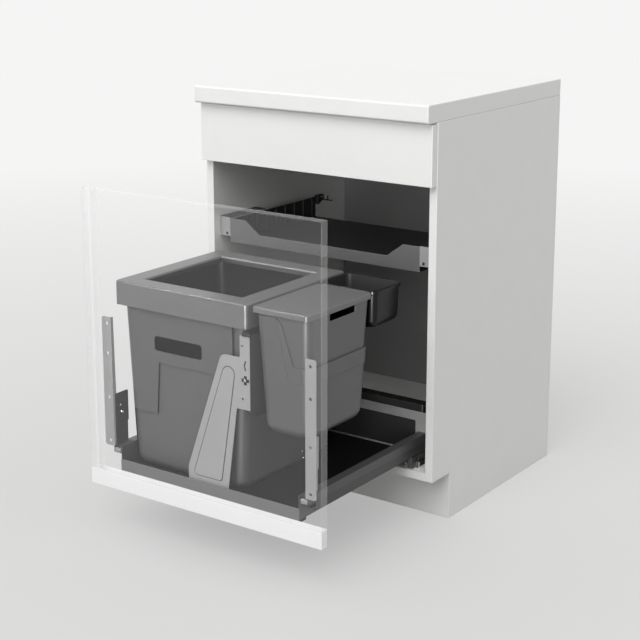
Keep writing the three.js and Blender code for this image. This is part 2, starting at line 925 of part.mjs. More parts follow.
// A moulded cover behind the rear wall, open underneath.
function rearCoverShell() {
  const { sideGap, depth, lift, height, wall, edgeRadius } = rearCover;
  const half = ledgeOuter - sideGap;
  const bottom = ledgeTop + lift;
  const top = bottom + height;
  const front = frameBack + sheet;
  const back = front + depth;
  const shell = raised(plan(-half, half, front, back, edgeRadius), cappedLevels(bottom, top, edgeRadius));
  const hollow = box(-half + wall, half - wall, front + wall, back - wall, bottom - cutPast, top - wall);
  return cut(shell, [hollow]);
}

function frameFoot() {
  const shape = rectangle(webOuter - foot.width, webOuter, frameFront, frameFront + foot.depth, foot.radius);
  return alongZ(shape, webBottom - foot.height, webBottom);
}

addPair("frame_side_rail", frameSideRail(), greySteel);
add("frame_front_rail", frameFrontRail(), greySteel);
add("frame_rear_wall", frameRearWall(), greySteel);
add("tray_floor", trayFloor(), greySteel);
add("floor_mat", floorMat(), matRubber);
add("rear_pad", rearPadPlate(), matRubber);
add("rear_cover", rearCoverShell(), blackPlastic);
addPair("frame_foot", frameFoot(), blackPlastic);

// ---------------------------------------------------------------------------------------------------
// Centre bracket, cam, carrier plate and cap
// ---------------------------------------------------------------------------------------------------

const bracketFront = frameFront - sheet + centreBracket.frontGap;
const bracketBack = bracketFront + sheet;
const bracketLeft = bracketRight - centreBracket.footLeft;
const bracketFootRight = bracketRight - centreBracket.footRight;
const bracketKnee = matTop + centreBracket.kneeRise;
const bracketShoulder = bracketTop - centreBracket.shoulderDrop;
const bracketNotch = bracketTop - centreBracket.notchDrop;
const camX = bracketRight - centreCam.fromRight;
const camZ = bracketTop - centreCam.drop;

// Where the bracket's leaning left edge lies at a height.
function bracketLeftAt(z) {
  const lean = centreBracket.footLeft - centreBracket.shoulderLeft;
  return bracketLeft + (lean * (z - bracketKnee)) / (bracketShoulder - bracketKnee);
}

// Where the bracket's leaning right edge lies at a height.
function bracketRightAt(z) {
  const lean = centreBracket.footRight - centreBracket.notchLeft;
  return bracketFootRight + (lean * (z - matTop)) / (bracketNotch - matTop);
}

function crossShape(x, z, armLength, armWidth) {
  const a = armWidth / 2;
  const b = armLength;
  return outline([
    [x - a, z - b],
    [x + a, z - b],
    [x + a, z - a],
    [x + b, z - a],
    [x + b, z + a],
    [x + a, z + a],
    [x + a, z + b],
    [x - a, z + b],
    [x - a, z + a],
    [x - b, z + a],
    [x - b, z - a],
    [x - a, z - a],
  ]);
}

// A slot that bows to the left in its middle.
function bowedSlot() {
  const { drop, length, width, bow } = bracketSlot;
  const left = bracketRight - bracketSlot.fromRight - width / 2;
  const right = left + width;
  const high = bracketTop - drop;
  return outline([
    [left, high - length],
    [right, high - length],
    [right - bow, high - length / 2],
    [right, high],
    [left, high],
    [left - bow, high - length / 2],
  ]);
}

// The raised field that stiffens the leaning foot plate.
function embossedField() {
  const { margin, footSideMargin, headSideMargin, footMargin, headRise, footRadius, headRadius } = emboss;
  const low = matTop + footMargin;
  const high = bracketShoulder + headRise;
  return outline([
    [bracketLeftAt(low) + footSideMargin, low, footRadius],
    [bracketRightAt(low) - footSideMargin, low, footRadius],
    [bracketRightAt(high) - headSideMargin, high, headRadius],
    [bracketLeftAt(high) + margin, high, headRadius],
  ]);
}

// A leaning foot plate that widens into a shoulder and a narrow neck.
function centreBracketPlate() {
  const b = centreBracket;
  const neckLeft = bracketRight - b.neckLeft;
  const shoulderTop = bracketTop - b.shoulderTop;
  const profile = outline([
    [bracketLeft, matTop],
    [bracketFootRight, matTop],
    [bracketRight - b.notchLeft, bracketNotch, b.notchRadius],
    [bracketRight, bracketNotch],
    [bracketRight, bracketTop, b.topRadius],
    [neckLeft, bracketTop, b.topRadius],
    [neckLeft, shoulderTop, b.neckRadius],
    [bracketLeftAt(shoulderTop), shoulderTop, b.shoulderRadius],
    [bracketLeft, bracketKnee, b.kneeRadius],
  ]);
  const holeX = bracketRight - bracketHole.fromRight;
  const holes = [
    circle(holeX, bracketTop - bracketHole.upperDrop, bracketHole.radius),
    circle(holeX, bracketTop - bracketHole.lowerDrop, bracketHole.radius),
    crossShape(camX, camZ, centreCam.armLength, centreCam.armWidth),
    bowedSlot(),
  ];
  return join([
    alongY(profile, bracketFront, bracketBack, holes),
    alongY(embossedField(), bracketFront - emboss.height, bracketFront),
    box(bracketLeft, bracketFootRight, frameFront, bracketBack, matTop, matTop + sheet),
  ]);
}

// The cam turns in the cross-shaped opening, and its head covers the middle of it.
function centreCamDisc() {
  const { radius, armLength, armWidth } = centreCam;
  const arms = crossShape(camX, camZ, armLength - runningGap, armWidth - 2 * runningGap);
  const head = alongY(circle(camX, camZ, radius), bracketFront - sheet / 2, bracketFront);
  return join([alongY(arms, bracketFront, bracketBack - runningGap), head]);
}

// A plate that runs back between the bins: the holder hooks over its upper edge, and behind the holder it
// steps down to a ledge for the caddy.
function carrierPlate() {
  const { chamfer, ledgeWidth, endGap, stepGap, radius } = carrier;
  const lowerEdge = bracketTop - carrier.lowerDrop;
  const rearEnd = caddyPlan.back + endGap;
  const stepY = holderPlan.back - stepGap;
  const profile = outline([
    [bracketBack, lowerEdge + chamfer],
    [bracketBack + chamfer, lowerEdge],
    [rearEnd, lowerEdge, radius],
    [rearEnd, carrierLedge],
    [stepY, carrierLedge],
    [stepY, bracketTop, radius / 2],
    [bracketBack, bracketTop],
  ]);
  const ledgeRight = bracketRight + ledgeWidth;
  const ledgePlate = box(plateLeft, ledgeRight, caddyPlan.front, rearEnd, carrierLedge - sheet, carrierLedge);
  return join([alongX(profile, plateLeft, bracketRight), ledgePlate]);
}

function carrierCapClip() {
  const { width, depth, height, radius, overhang } = carrierCap;
  const right = bracketRight + overhang;
  const front = bracketFront - (depth - sheet) / 2;
  const outer = plan(right - width, right, front, front + depth, radius);
  return raised(outer, cappedLevels(bracketTop, bracketTop + height, radius));
}

add("centre_bracket", centreBracketPlate(), lightSteel);
add("centre_cam", centreCamDisc(), zincSteel);
add("carrier_plate", carrierPlate(), greySteel);
add("carrier_cap", carrierCapClip(), blackPlastic);

// ---------------------------------------------------------------------------------------------------
// Large bin and collar
// ---------------------------------------------------------------------------------------------------

const collarMiddle = (collarPlan.front + collarPlan.back) / 2;
const binHalfAtLedge = webInner - bin.ledgeGap;
const binInsetX = ledgeOuter - binHalfAtLedge - bin.leanX * (binTop - ledgeTop);
const binPlan = plan(
  collarPlan.left + binInsetX,
  collarPlan.right - binInsetX,
  collarPlan.front + bin.insetY,
  collarPlan.back - bin.insetY,
  bin.corner,
);

// The layer of a vessel's front wall that lies within an outline, as deep as asked.
function frontLayer(form, depth, shape) {
  const region = alongY(shape, collarPlan.front, collarMiddle);
  return region.subtract(form.translate([0, depth, 0]));
}

// A stepped field on the bin's front wall: wide at its foot, and narrower above a sloping knee.
function recessOutline(grow) {
  const { fromLeft, fromRight, kneeLeft, kneeRight, kneeDrop, drop } = binRecess;
  const left = collarPlan.left + fromLeft - grow;
  const right = collarPlan.right - fromRight + grow;
  const top = binTop - drop + grow;
  const knee = binTop - kneeDrop + grow;
  return outline([
    [left, matTop - cutPast],
    [right, matTop - cutPast],
    [right, top],
    [collarPlan.left + kneeRight - grow, top],
    [collarPlan.left + kneeLeft - grow, knee],
    [left, knee],
  ]);
}

function grooveOutline(grow) {
  const right = collarPlan.right - binGroove.fromRight;
  const left = right - binGroove.width;
  return rectangle(left - grow, right + grow, binTop - binGroove.drop - grow, binTop + cutPast);
}

// The bin's form, or with an inset its hollow: the stepped field and the groove lie lower than the rest of
// the front wall, and the hollow follows them.
function binForm(inset) {
  const form = vesselForm(binPlan, bin, matTop, binTop, inset);
  return cut(form, [
    frontLayer(form, binRecess.depth, recessOutline(inset)),
    frontLayer(form, binGroove.depth, grooveOutline(inset)),
  ]);
}

function largeBin() {
  const left = collarPlan.left + binHandle.fromLeft;
  const right = collarPlan.right - binHandle.fromRight;
  const top = binTop - binHandle.drop;
  const hole = rectangle(left, right, top - binHandle.height, top, binHandle.radius);
  return cut(binForm(0), [binForm(bin.wall), alongY(hole, collarPlan.front, collarMiddle)]);
}

// A skirt, a flat band all round and a lip that rolls down into the bin.
function binCollar() {
  const { height, wall, band, lipDrop, lipDraft, lipRadius, edgeRadius } = collar;
  const lipFoot = collarTop - lipDrop;
  const shell = raised(collarPlan, cappedLevels(collarTop - height, collarTop, edgeRadius));
  const under = raised(insetPlan(collarPlan, wall), [
    [collarTop - height - cutPast, 0, 0],
    [binTop, 0, 0],
  ]);
  const lip = raised(insetPlan(collarPlan, band - wall), [
    [lipFoot, lipDraft, lipDraft],
    [binTop, 0, 0],
    [collarTop, 0, 0],
  ]);
  const rolled = cappedLevels(lipFoot, collarTop, lipRadius).slice(1);
  const mouth = raised(insetPlan(collarPlan, band), [
    [lipFoot - cutPast, lipDraft, lipDraft],
    [lipFoot, lipDraft, lipDraft],
    ...rolled.map(([z, inset]) => [z, -inset, -inset]),
    [collarTop + cutPast, -lipRadius, -lipRadius],
  ]);
  return cut(shell, [under.subtract(lip), mouth]);
}

add("large_bin", largeBin(), binPlastic);
add("bin_collar", binCollar(), collarPlastic);

// ---------------------------------------------------------------------------------------------------
// Small bin: holder, bucket and lid
// ---------------------------------------------------------------------------------------------------

const holderBottom = holderTop - holder.height;
const rimTop = holderTop - holderRim.drop;
const rimBottom = rimTop - holderRim.height;
const tongueTop = holderPlan.left + holderTongue.top;
const tongueShoulder = holderPlan.left + holderTongue.shoulder;
const tongueFoot = holderPlan.left + holderTongue.foot;

// What is cut from the holder above its rim: the front and rear walls fall from a tall tongue on the left
// to the rim, and the right wall ends at the rim.
function holderOpening() {
  const { shoulderDrop, shoulderRadius, footRadius } = holderTongue;
  const right = holderPlan.right + holderRim.lead;
  const shape = outline([
    [tongueTop, holderTop + cutPast],
    [tongueTop, holderTop],
    [tongueShoulder, holderTop - shoulderDrop, shoulderRadius],
    [tongueFoot, rimTop, footRadius],
    [right, rimTop],
    [right, holderTop + cutPast],
  ]);
  return alongY(shape, holderPlan.front - holderRim.lead, holderPlan.back + holderRim.lead);
}

// The proud band below the rim, at the right end and along the front and rear walls.
function holderRimBand() {
  const { proud, lead } = holderRim;
  const insetAt = (z, lean) => lean * (holderTop - z) - proud;
  const level = (z, more) => [z, insetAt(z, holder.leanX) + more, insetAt(z, holder.leanY) + more];
  const band = raised(holderPlan, [
    level(rimBottom - proud, proud),
    level(rimBottom, 0),
    level(rimTop, 0),
  ]);
  const front = holderPlan.front - lead;
  const back = holderPlan.back + lead;
  const keep = box(tongueFoot - lead, holderPlan.right + lead, front, back, rimBottom - lead, rimTop);
  return band.intersect(keep);
}

// A soft raised strip on the front wall beside the diagonal edge.
function holderStripField(form) {
  const { width, proud, offset, drop } = holderStrip;
  const middle = tongueTop - offset;
  const shape = outline([
    [middle - width / 2, holderTop - drop],
    [middle + width / 2, holderTop - drop],
    [tongueFoot - offset, rimBottom],
    [tongueFoot - offset - width, rimBottom],
  ]);
  const region = alongY(shape, holderPlan.front - offset, (holderPlan.front + holderPlan.back) / 2);
  return region.intersect(form.translate([0, -proud, 0])).subtract(form.translate([0, holder.wall / 2, 0]));
}

// Hooks on the left wall that hang over the carrier plate.
function holderHook(y) {
  const { length, thickness, drop, tail, play } = hook;
  const tailRight = plateLeft - play;
  const tailLeft = tailRight - tail;
  const wallX = holderPlan.left + holder.leanX * (holderTop - bracketTop) + holder.wall / 2;
  const top = bracketTop + thickness;
  return join([
    box(tailLeft, wallX, y, y + length, bracketTop, top),
    box(tailLeft, tailRight, y, y + length, bracketTop - drop, top),
  ]);
}

function binHolder() {
  const form = vesselForm(holderPlan, holder, holderBottom, holderTop);
  const hollow = vesselForm(holderPlan, holder, holderBottom, holderTop, holder.wall);
  const whole = join([form, holderRimBand(), holderStripField(form)]);
  const shell = cut(whole, [hollow, holderOpening()]);
  const frontHook = holderHook(holderPlan.front + hook.fromEnd);
  const rearHookY = holderPlan.back - hook.fromEnd - hook.length;
  return join([shell, frontHook, holderHook(rearHookY)]);
}

const bucketInset = holder.wall + bucket.clearance;
const bucketPlan = insetPlan(holderPlan, bucketInset);
const bucketSize = { ...holder, footRadius: holder.footRadius - bucketInset };

function smallBucket() {
  const bottom = holderBottom + holder.wall + seatGap;
  const form = vesselForm(bucketPlan, bucketSize, bottom, bucketTop);
  const hollow = vesselForm(bucketPlan, bucketSize, bottom, bucketTop, bucket.wall);
  const middle = (holderPlan.left + holderPlan.right) / 2;
  const right = holderPlan.right + cutPast;
  const front = holderPlan.front + bucketSlot.frontGap;
  const back = holderPlan.back - bucketSlot.rearGap;
  const slot = box(middle, right, front, back, bucketTop - bucketSlot.drop, bucketTop + cutPast);
  return cut(form, [hollow, slot]);
}

// A flat lid with rounded edges, hollow underneath, and a spigot that drops into the bucket.
function bucketLid() {
  const { height, wall, edgeRadius } = lid;
  const top = bucketTop + height;
  const shell = raised(lidPlan, cappedLevels(bucketTop, top, edgeRadius));
  const under = raised(insetPlan(lidPlan, wall), [
    [bucketTop - cutPast, 0, 0],
    [top - wall, 0, 0],
  ]);
  const spigotPlan = insetPlan(bucketPlan, bucket.wall + lidSpigot.inset);
  const spigotBottom = bucketTop - lidSpigot.depth;
  const spigot = raised(spigotPlan, [
    [spigotBottom, 0, 0],
    [top - wall, 0, 0],
  ]);
  const spigotHollow = raised(insetPlan(spigotPlan, wall), [
    [spigotBottom - cutPast, 0, 0],
    [top - wall, 0, 0],
  ]);
  return join([cut(shell, [under]), cut(spigot, [spigotHollow])]);
}

add("small_bin_holder", binHolder(), binPlastic);
add("small_bucket", smallBucket(), binPlastic);
add("bucket_lid", bucketLid(), collarPlastic);

// ---------------------------------------------------------------------------------------------------
// Caddy
// ---------------------------------------------------------------------------------------------------

function openCaddy() {
  const bottom = carrierLedge + caddyFoot.height;
  const form = vesselForm(caddyPlan, caddy, bottom, collarTop);
  const hollow = vesselForm(caddyPlan, caddy, bottom, collarTop, caddy.wall);
  const rimLevels = cappedLevels(collarTop - caddy.rimHeight, collarTop, caddy.rimRadius);
  const rim = raised(insetPlan(caddyPlan, -caddy.rim), rimLevels);
  const { width, fromCurve, fromLedgeEnd, fromFront, fromBack } = caddyFoot;
  const left = caddyPlan.left + caddy.footRadius + fromCurve;
  const right = bracketRight + carrier.ledgeWidth - fromLedgeEnd;
  const front = caddyPlan.front + fromFront;
  const back = caddyPlan.back - fromBack;
  const footAt = (x, y) => box(x, x + width, y, y + width, carrierLedge, bottom + caddy.wall / 2);
  const feet = [
    footAt(left, front),
    footAt(right - width, front),
    footAt(left, back - width),
    footAt(right - width, back - width),
  ];
  return cut(join([form, rim, ...feet]), [hollow]);
}

add("caddy", openCaddy(), darkPlastic);

// ---------------------------------------------------------------------------------------------------
// The middle of the object's length becomes the origin
// ---------------------------------------------------------------------------------------------------

group.position.y = -(cabinetDepth + panelBack - frontThickness) / 2;

export default group;
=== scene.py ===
"""Kitchen base cabinet with a pull-out waste sorter: finishes, broken edges and small fittings."""

import math

import bpy
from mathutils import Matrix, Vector


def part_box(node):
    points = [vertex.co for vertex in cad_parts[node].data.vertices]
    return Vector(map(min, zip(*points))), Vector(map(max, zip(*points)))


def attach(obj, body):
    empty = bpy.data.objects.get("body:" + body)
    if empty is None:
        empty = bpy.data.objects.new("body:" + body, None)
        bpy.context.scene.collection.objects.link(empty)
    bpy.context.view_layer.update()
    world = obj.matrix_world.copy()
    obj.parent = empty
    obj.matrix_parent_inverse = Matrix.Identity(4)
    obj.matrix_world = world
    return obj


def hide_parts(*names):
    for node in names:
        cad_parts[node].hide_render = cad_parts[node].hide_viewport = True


bl_info = {
    "name": "Pull-out waste sorter",
    "version": (1, 0, 0),
    "blender": (4, 5, 0),
    "location": "3D Viewport > Sidebar > Sorter",
    "description": "Dresses the packed solids of a base cabinet with a pull-out waste sorter",
    "category": "Object",
}

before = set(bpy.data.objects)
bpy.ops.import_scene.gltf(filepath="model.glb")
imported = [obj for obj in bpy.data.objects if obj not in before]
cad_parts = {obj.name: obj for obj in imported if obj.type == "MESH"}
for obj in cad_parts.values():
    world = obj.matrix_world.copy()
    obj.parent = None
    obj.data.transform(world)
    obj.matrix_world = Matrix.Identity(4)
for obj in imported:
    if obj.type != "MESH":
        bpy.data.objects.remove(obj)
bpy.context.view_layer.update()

MM = 0.001
SMOOTH_ANGLE = math.radians(35)
SIDES = ("left", "right")
# The way along X that leads out of the cabinet on each side.
OUTWARDS = {"left": -1, "right": 1}

# How far the acrylic front covers what is behind it.
MILKY_FOOT = 0.9
MILKY_MARGIN = 0.45
EDGE_COVER = 0.16
CLEAR_COVER = 0.035

# The finish of each material slot in the record.
FINISH_OF = {
    "white_board": "melamine_white",
    "interior_board": "melamine_painted_shade",
    "ghosted_front": "milky_acrylic",
    "grey_steel": "powder_coat_grey",
    "light_steel": "powder_coat_light",
    "zinc_steel": "bright_zinc",
    "bin_plastic": "moulded_pp_grey",
    "collar_plastic": "moulded_pp_collar",
    "dark_plastic": "moulded_pp_dark",
    "black_plastic": "moulded_pp_black",
    "black_mat": "rubber_mat",
}


# ------------------------------------------------------------------------------------------------
# Colours and finishes
# ------------------------------------------------------------------------------------------------


def linear(code):
    """The linear colour of an sRGB hex value such as "e8e8e6"."""
    channels = [int(code[start : start + 2], 16) / 255 for start in (0, 2, 4)]
    return [c / 12.92 if c <= 0.04045 else ((c + 0.055) / 1.055) ** 2.4 for c in channels] + [1.0]


def add_node(material, kind, settings=None, inputs=None):
    """Adds a node. Each input is given as a value, or as the output socket that it is linked to."""
    node = material.node_tree.nodes.new(kind)
    for name, value in (settings or {}).items():
        setattr(node, name, value)
    for name, value in (inputs or {}).items():
        if isinstance(value, bpy.types.NodeSocket):
            material.node_tree.links.new(value, node.inputs[name])
        else:
            node.inputs[name].default_value = value
    return node


def new_material(name, **inputs):
    """A material with only a Principled shader, which has these inputs, and an output."""
    material = bpy.data.materials.new(name)
    material.use_nodes = True
    material.node_tree.nodes.clear()
    shader = add_node(material, "ShaderNodeBsdfPrincipled", None, inputs)
    add_node(material, "ShaderNodeOutputMaterial", None, {"Surface": shader.outputs["BSDF"]})
    return material, shader


def grained(name, colour, grain_mm, bump_mm, roughness, shade=0.88, spread=0.03, mottle_mm=60, **inputs):
    """A finish with an even fine grain.

    Its colour has a soft mottle down to the given shade of itself. Its relief and gloss vary with the grain.
    """
    light = [*colour[:3], 1]
    dark = [*(channel * shade for channel in colour[:3]), 1]
    material, shader = new_material(name, **inputs)
    links = material.node_tree.links
    place = add_node(material, "ShaderNodeTexCoord").outputs["Object"]
    mottle_inputs = {"Vector": place, "Scale": 1 / (mottle_mm * MM), "Detail": 3.0, "Roughness": 0.6}
    mottle = add_node(material, "ShaderNodeTexNoise", None, mottle_inputs)
    # The colour sockets of a Mix node share their names with others, so they are given by number.
    mixed = {0: mottle.outputs["Fac"], 6: dark, 7: light}
    tone = add_node(material, "ShaderNodeMix", {"data_type": "RGBA"}, mixed)
    grain_inputs = {"Vector": place, "Scale": 1 / (grain_mm * MM), "Detail": 2.0, "Roughness": 0.55}
    grain = add_node(material, "ShaderNodeTexNoise", None, grain_inputs)
    span = {
        "Value": grain.outputs["Fac"],
        "From Min": 0.3,
        "From Max": 0.7,
        "To Min": roughness - spread,
        "To Max": roughness + spread,
    }
    gloss = add_node(material, "ShaderNodeMapRange", None, span)
    relief_inputs = {"Height": grain.outputs["Fac"], "Distance": bump_mm * MM}
    relief = add_node(material, "ShaderNodeBump", None, relief_inputs)
    links.new(tone.outputs[2], shader.inputs["Base Color"])
    links.new(gloss.outputs["Result"], shader.inputs["Roughness"])
    links.new(relief.outputs["Normal"], shader.inputs["Normal"])
    return material


def seen_ray(holder):
    """1 for a ray from the camera, or by way of gloss or a clear part, and 0 for the light on surfaces."""
    rays = add_node(holder, "ShaderNodeLightPath").outputs
    seen = {0: rays["Is Camera Ray"], 1: rays["Is Glossy Ray"]}
    seen = add_node(holder, "ShaderNodeMath", {"operation": "MAXIMUM"}, seen)
    seen = {0: seen.outputs["Value"], 1: rays["Is Transmission Ray"]}
    return add_node(holder, "ShaderNodeMath", {"operation": "MAXIMUM"}, seen).outputs["Value"]


def make_boards(colours):
    """Finishes of the cabinet's boards."""
    # Melamine-faced chipboard: matt white with a pearl grain of about 0.5 mm, drawn at 1.2 mm to show.
    melamine = {"spread": 0.05, "IOR": 1.5, "Specular IOR Level": 0.25}
    grained("melamine_white", colours.board, 1.2, 0.012, 0.42, shade=0.96, **melamine)
    # The same board in grey for the faces inside the cabinet: painted shade, as these faces lie in the
    # cabinet's shade.
    grained("melamine_painted_shade", colours.interior_painted_shade, 1.2, 0.012, 0.5, shade=0.92, **melamine)


def make_steels(colours):
    """Finishes of the sheet steel and of the small metal parts."""
    # Sheet steel with a fine-textured powder coat: an orange peel of about 1 mm.
    coat = {"IOR": 1.5, "spread": 0.05}
    grained("powder_coat_light", colours.light_steel, 0.9, 0.008, 0.38, **coat)
    grained("powder_coat_grey", colours.grey_steel, 0.9, 0.008, 0.42, **coat)
    # Painted shade: the side rails in a darker coat than the rest of the frame.
    grained("rail_coat_painted_shade", colours.rail_painted_shade, 0.9, 0.008, 0.42, **coat)
    # Painted shade: a dark coat for steel parts that lie in shade.
    grained("powder_coat_painted_shade", linear("383838"), 0.9, 0.008, 0.42, **coat)
    # Bright zinc on small pressed and turned parts.
    grained("bright_zinc", linear("c4c5c3"), 0.5, 0.004, 0.24, shade=0.85, mottle_mm=5, Metallic=1.0)


def make_plastics(colours):
    """Finishes of the bins, the shelf and the other moulded parts."""
    # Injection-moulded polypropylene, spark-eroded: a grain of about 0.3 mm, drawn at 0.8 mm to show.
    moulded = {"IOR": 1.49, "Specular IOR Level": 0.35}
    grained("moulded_pp_grey", colours.bins, 0.8, 0.005, 0.35, **moulded)
    grained("moulded_pp_collar", colours.lids, 0.8, 0.005, 0.33, **moulded)
    grained("moulded_pp_shelf", colours.shelf, 0.8, 0.005, 0.42, **moulded)
    grained("moulded_pp_light", colours.end_blocks, 0.8, 0.005, 0.42, **moulded)
    moulded["Specular IOR Level"] = 0.2
    grained("moulded_pp_dark", colours.caddy, 0.8, 0.003, 0.26, spread=0.02, **moulded)
    grained("moulded_pp_black", linear("0e0e0e"), 0.8, 0.005, 0.5, **moulded)
    # A smoother, dark copy of the same moulding: painted shade inside the bins and on the shaded faces of the
    # shelf and its end blocks.
    grained("moulded_pp_painted_shade", linear("222222"), 3.0, 0.001, 0.34, spread=0.01, **moulded)
    # The caddy's inner walls, set paler than its outside to match the tone in the photograph.
    # Painted light: a paler copy of the caddy's moulding for its inner walls.
    grained("moulded_pp_caddy_painted_light", linear("3a3a3a"), 0.8, 0.003, 0.42, **moulded)


def make_rubbers():
    """Finishes of the mat and of the pad behind it."""
    rubber = {"IOR": 1.5, "Specular IOR Level": 0.12}
    # Rubber mat: matt black with a smooth skin.
    grained("rubber_mat", linear("0f0f0f"), 3.0, 0.003, 0.6, spread=0.02, **rubber)
    # Cast rubber granulate of about 2 mm, which catches the light in specks.
    specks = {"shade": 0.1, "spread": 0.1, "mottle_mm": 1.8}
    grained("rubber_granulate", linear("1e1e1e"), 1.8, 0.3, 0.75, **specks, **rubber)


def make_acrylic():
    """Cast acrylic front: clear where the fittings show, milky below and beside them and along its edges."""
    material = grained("milky_acrylic", linear("ffffff"), 4.0, 0.004, 0.25, shade=0.96, IOR=1.49)
    shader = material.node_tree.nodes["Principled BSDF"]
    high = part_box("front_panel")[1]
    rail_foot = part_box("frame_front_rail")[0][2]
    strip_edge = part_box("panel_strip_left")[0][0]
    place = add_node(material, "ShaderNodeTexCoord").outputs["Object"]
    axes = add_node(material, "ShaderNodeSeparateXYZ", None, {"Vector": place}).outputs
    across = add_node(material, "ShaderNodeMath", {"operation": "ABSOLUTE"}, {0: axes["X"]}).outputs["Value"]
    # Each ramp runs from one cover to another between two places: foot, side edges, top edge, left margin.
    ramps = (
        (axes["Z"], rail_foot + 1 * MM, rail_foot + 2 * MM, MILKY_FOOT, CLEAR_COVER),
        (across, high[0] - 2 * MM, high[0] - 1 * MM, 0.0, EDGE_COVER),
        (axes["Z"], high[2] - 2 * MM, high[2] - 1 * MM, 0.0, EDGE_COVER),
        (axes["X"], strip_edge - 4 * MM, strip_edge - 1 * MM, MILKY_MARGIN, 0.0),
    )
    cover = 0.0
    for along, begin, end, cover_from, cover_to in ramps:
        span = {"Value": along, "From Min": begin, "From Max": end, "To Min": cover_from, "To Max": cover_to}
        ramp = add_node(material, "ShaderNodeMapRange", None, span)
        layers = {0: ramp.outputs["Result"], 1: cover}
        cover = add_node(material, "ShaderNodeMath", {"operation": "MAXIMUM"}, layers).outputs["Value"]
    material.node_tree.links.new(cover, shader.inputs["Alpha"])


# ------------------------------------------------------------------------------------------------
# Modelling by hand: selections, edges, small shapes and the finish of a piece
# ------------------------------------------------------------------------------------------------


def select_only(*pieces):
    """Selects these pieces and nothing else, and makes the last one active."""
    bpy.ops.object.select_all(action="DESELECT")
    for piece in pieces:
        piece.select_set(True)
    bpy.context.view_layer.objects.active = pieces[-1]


def pick(piece, kind, test):
    """Goes into edit mode with only those edges or faces selected that pass the test."""
    select_only(piece)
    bpy.ops.object.mode_set(mode="EDIT")
    bpy.ops.mesh.select_mode(type=kind)
    bpy.ops.mesh.select_all(action="DESELECT")
    bpy.ops.object.mode_set(mode="OBJECT")
    parts = {"EDGE": piece.data.edges, "FACE": piece.data.polygons}[kind]
    for part in parts:
        part.select = test(part)
    bpy.ops.object.mode_set(mode="EDIT")


def apply_modifier(piece, kind, **settings):
    """Adds a modifier with these settings and applies it."""
    select_only(piece)
    modifier = piece.modifiers.new(kind.lower(), kind)
    for name, value in settings.items():
        setattr(modifier, name, value)
    bpy.ops.object.modifier_apply(modifier=modifier.name)


def break_edges(piece, width, segments=2, angle=40):
    """Rounds the edges that are sharper than the angle, as a real edge is."""
    settings = {"limit_method": "ANGLE", "angle_limit": math.radians(angle), "use_clamp_overlap": True}
    apply_modifier(piece, "BEVEL", width=width, segments=segments, **settings)


def cut(piece, tool):
    """Takes the tool's shape out of the piece, and clears the tool away."""
    apply_modifier(piece, "BOOLEAN", operation="DIFFERENCE", solver="EXACT", object=tool)
    select_only(tool)
    bpy.ops.object.delete()


def copy_of_solid(node, name):
    """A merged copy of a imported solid, with each flat face in one piece."""
    select_only(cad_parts[node])
    bpy.ops.object.duplicate()
    piece = bpy.context.active_object
    piece.name = name
    piece.data.name = name
    bpy.ops.object.mode_set(mode="EDIT")
    bpy.ops.mesh.select_all(action="SELECT")
    bpy.ops.mesh.remove_doubles(threshold=0.01 * MM)
    bpy.ops.mesh.dissolve_limited(angle_limit=math.radians(0.5))
    bpy.ops.object.mode_set(mode="OBJECT")
    return piece


def block(name, low, high):
    """A box between two corners, in metres, with its place in its mesh."""
    low, high = Vector(low), Vector(high)
    bpy.ops.object.select_all(action="DESELECT")
    bpy.ops.mesh.primitive_cube_add(size=1, location=(low + high) / 2, scale=high - low)
    piece = bpy.context.active_object
    piece.name = name
    bpy.ops.object.transform_apply(location=True, rotation=True, scale=True)
    return piece


def rounded_block(name, low, high, radius_mm, segments=3):
    """A block whose edges are all rounded."""
    piece = block(name, low, high)
    pick(piece, "EDGE", lambda edge: True)
    bpy.ops.mesh.bevel(offset=radius_mm * MM, segments=segments, affect="EDGES")
    bpy.ops.object.mode_set(mode="OBJECT")
    return piece


def button_head(name, centre, towards, radius_mm, height_mm):
    """A low domed head, such as a rivet's, that stands on a face."""
    turn = Vector(towards).to_track_quat("Z", "Y").to_euler()
    bpy.ops.object.select_all(action="DESELECT")
    size = {"vertices": 20, "radius": radius_mm * MM, "depth": height_mm * MM}
    place = Vector(centre) + Vector(towards) * height_mm * MM / 2
    bpy.ops.mesh.primitive_cylinder_add(location=place, rotation=turn, **size)
    head = bpy.context.active_object
    head.name = name
    bpy.ops.object.transform_apply(location=True, rotation=True, scale=True)
    outer = Vector(towards)
    pick(head, "FACE", lambda face: face.normal.dot(outer) > 0.9)
    bpy.ops.mesh.bevel(offset=height_mm * 0.7 * MM, segments=3, affect="EDGES")
    bpy.ops.object.mode_set(mode="OBJECT")
    return head


def join_as(name, pieces):
    """Joins the pieces in one mesh of this name."""
    select_only(*pieces)
    bpy.ops.object.join()
    joined = bpy.context.active_object
    joined.name = name
    joined.data.name = name
    return joined


def finish_piece(piece, body, slot, finish=None, nodes=()):
    """Smooths the piece, gives it its finish, and puts it on its body, in the place of these solids."""
    select_only(piece)
    bpy.ops.object.shade_smooth_by_angle(angle=SMOOTH_ANGLE)
    apply_modifier(piece, "WEIGHTED_NORMAL", keep_sharp=True)
    material = bpy.data.materials[finish or FINISH_OF[slot]]
    if piece.data.materials:
        piece.data.materials[0] = material
    else:
        piece.data.materials.append(material)
    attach(piece, body)
    if nodes:
        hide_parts(*nodes)


def dress(node, body, slot, width, segments=2, finish=None):
    """Stands a copy of a solid with broken edges in its place."""
    piece = copy_of_solid(node, f"{node}_edged")
    break_edges(piece, width, segments)
    finish_piece(piece, body, slot, finish, [node])
    return piece


def refinish(piece, finish, test):
    """Gives those faces that pass the test another finish."""
    piece.data.materials.append(bpy.data.materials[finish])
    for face in piece.data.polygons:
        if test(face):
            face.material_index = len(piece.data.materials) - 1


